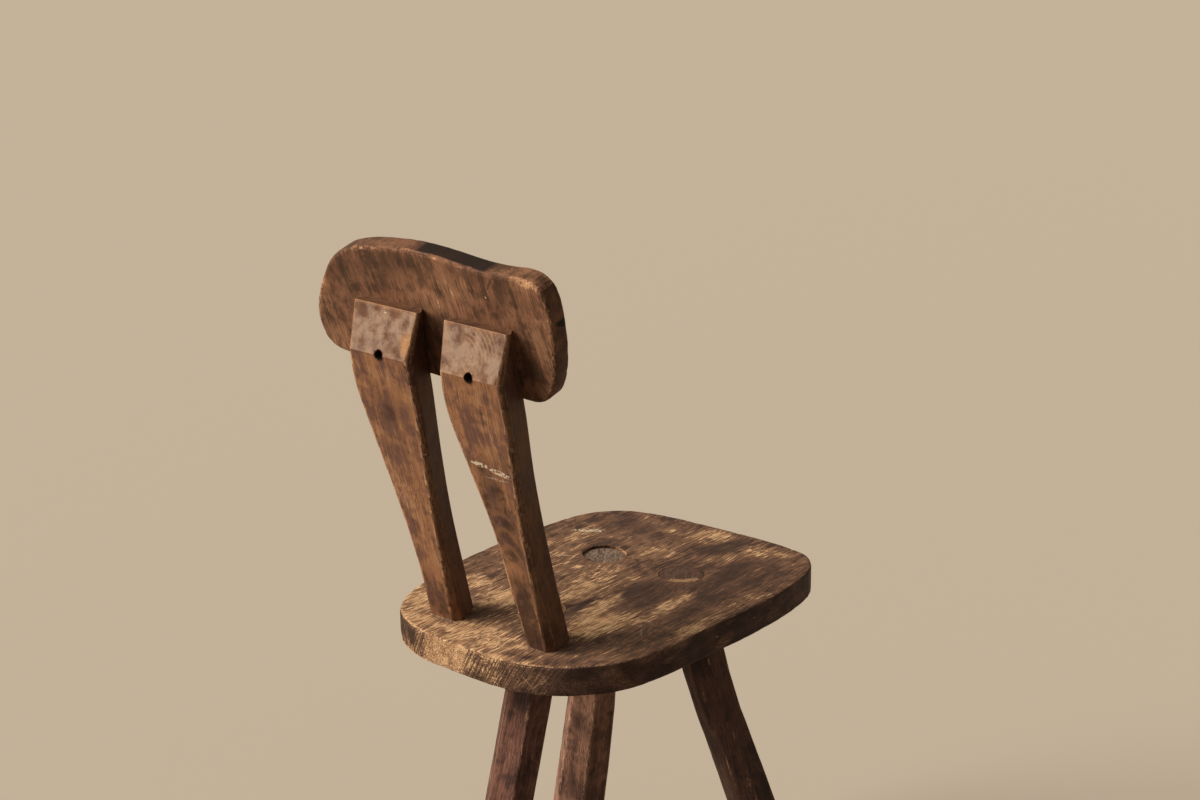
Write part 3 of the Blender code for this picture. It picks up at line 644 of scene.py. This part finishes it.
# Planed hardwood with brushed stain: smooth and nearly matt, reddish brown, with soft
# darker streaks from the brush and a blackened stretch on the top edge
crest_mat, coords, colour, height, shine = stained_wood(
    "crest_hardwood_worn_stain", (0.12, LEAN, 1), (1.8, 24),
    ("59402f", "8a5f46", "9c7052", "a97a58", "cf9e73"), -0.06, 0.55, 10.0, 0.65)
tree = crest_mat.node_tree
soot_and_shade = add(tree, "ShaderNodeAttribute", {}, out="Fac", attribute_name="dirt_and_shade")
colour = lay(tree, colour, linear("1f1a17"), soot_and_shade, 0.88, 1.0, 0.8)
crack = spot(tree, coords, (-68, 206, 794), (1.3, 20, 13), -34, 1)
colour = lay(tree, colour, linear("2a1d18"), crack, 0.1, 0.6, 0.6)
notch = spot(tree, coords, (-130, 180, 766), (10, 16, 5))
colour = lay(tree, colour, linear("1a1412"), notch, 0.1, 0.5)
for centre in ((68, 189, 732), (-3, 213, 816), (-60, 204, 780)):
    speck = spot(tree, coords, centre, (1.4, 8, 1.4))
    colour = lay(tree, colour, linear("cbb79d"), speck, 0.1, 0.5, 0.7)
coat(crest_mat, colour, height, shine, 0.15)
show(mesh, "crest_board", crest_mat)

# Screws: two slotted steel screws at the bottom of the counterbores. They hold the crest
# board to the posts. The steel is dull, with brown rust creeping in from the slot.

# Rusted steel: grey metal with a soft gleam, brown and matt where it rusted. The rust is
# drawn in blots of 1.6 mm, coarser than real, so that it shows in the deep holes
screw_steel = bpy.data.materials.new("dull_steel_with_rust")
screw_steel.use_nodes = True
tree = screw_steel.node_tree
shader = tree.nodes["Principled BSDF"]
coords = add(tree, "ShaderNodeTexCoord", {}, out="Object")
rust = add(tree, "ShaderNodeTexNoise", {
    "Vector": coords, "Scale": 1 / (1.6 * MM), "Detail": 4.0, "Roughness": 0.65})
rust = add(tree, "ShaderNodeMapRange", {"Value": rust, "From Min": 0.48, "From Max": 0.62},
           interpolation_type='SMOOTHSTEP')
colour = add(tree, "ShaderNodeMix", {0: rust, 6: linear("8d877f"), 7: linear("5a3a28")},
             out=2, data_type='RGBA')
tree.links.new(colour, shader.inputs["Base Color"])
bare_metal = add(tree, "ShaderNodeMath", {0: 1.0, 1: rust}, operation='SUBTRACT')
tree.links.new(bare_metal, shader.inputs["Metallic"])
dullness = add(tree, "ShaderNodeMapRange", {"Value": rust, "To Min": 0.42, "To Max": 0.85})
tree.links.new(dullness, shader.inputs["Roughness"])
pitting = add(tree, "ShaderNodeBump", {"Height": rust, "Strength": 1.0, "Distance": 0.05 * MM})
tree.links.new(pitting, shader.inputs["Normal"])
for node in ("crest_screw_left", "crest_screw_right"):
    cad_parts[node].data.materials.clear()
    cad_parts[node].data.materials.append(screw_steel)

# Setting: a plain pale floor and background, one wide soft light from the left and above,
# and a weak even fill. The camera stands behind the chair, on the sitter's right.
FLOOR_HALF = 14.0            # metres


def seen_directly(tree):
    """1 for rays from the camera, a reflection or glass, 0 for those that only bring light."""
    rays = tree.nodes.new("ShaderNodeLightPath")
    either = add(tree, "ShaderNodeMath", {
        0: rays.outputs["Is Camera Ray"], 1: rays.outputs["Is Glossy Ray"]}, operation='MAXIMUM')
    return add(tree, "ShaderNodeMath", {0: either, 1: rays.outputs["Is Transmission Ray"]},
               operation='MAXIMUM')


# Fine plaster: pale, even and matt. It looks about twice as bright as the light that it
# sends back up on to the chair
floor_mesh = bpy.data.meshes.new("floor")
corners = [(x * FLOOR_HALF, y * FLOOR_HALF, 0) for x, y in ((-1, -1), (1, -1), (1, 1), (-1, 1))]
floor_mesh.from_pydata(corners, [], [(0, 1, 2, 3)])
floor = bpy.data.objects.new("floor", floor_mesh)
bpy.context.scene.collection.objects.link(floor)
floor_mat = bpy.data.materials.new("pale_plaster_floor")
floor_mat.use_nodes = True
shader = floor_mat.node_tree.nodes["Principled BSDF"]
shader.inputs["Roughness"].default_value = 0.9
tree = floor_mat.node_tree
floor_colour = add(tree, "ShaderNodeMix", {
    0: seen_directly(tree), 6: linear("8f8579"), 7: linear("cbbba5")}, out=2, data_type='RGBA')
tree.links.new(floor_colour, shader.inputs["Base Color"])
floor_mesh.materials.append(floor_mat)

sun_data = bpy.data.lights.new("soft_light", 'SUN')
sun_data.energy = 3.9
sun_data.angle = math.radians(45)
sun_data.color = linear("fffaf3")[:3]
sun = bpy.data.objects.new("soft_light", sun_data)
sun.rotation_euler = Vector((0.56, 0.68, 0.62)).to_track_quat('Z', 'Y').to_euler()
bpy.context.scene.collection.objects.link(sun)

world = bpy.data.worlds.new("even_fill")
bpy.context.scene.world = world
world.use_nodes = True
tree = world.node_tree
fill = add(tree, "ShaderNodeBackground", {"Color": linear("fffcf8"), "Strength": 0.17})
seen = add(tree, "ShaderNodeBackground", {"Color": linear("c9b9a3"), "Strength": 1.0})
both = add(tree, "ShaderNodeMixShader", {0: seen_directly(tree), 1: fill, 2: seen})
tree.links.new(both, tree.nodes["World Output"].inputs["Surface"])

camera_data = bpy.data.cameras.new("camera")
camera_data.lens = 75.0
camera_data.sensor_width = 36.0
camera = bpy.data.objects.new("camera", camera_data)
camera.location = (-1.4602, 1.7260, 1.3588)
look = Vector((0.6097, -0.7300, -0.3090)).to_track_quat('-Z', 'Y')
camera.rotation_euler = (look @ Quaternion((0, 0, 1), math.radians(-0.197))).to_euler()
bpy.context.scene.collection.objects.link(camera)
bpy.context.scene.camera = camera
bpy.context.scene.view_settings.view_transform = 'Standard'
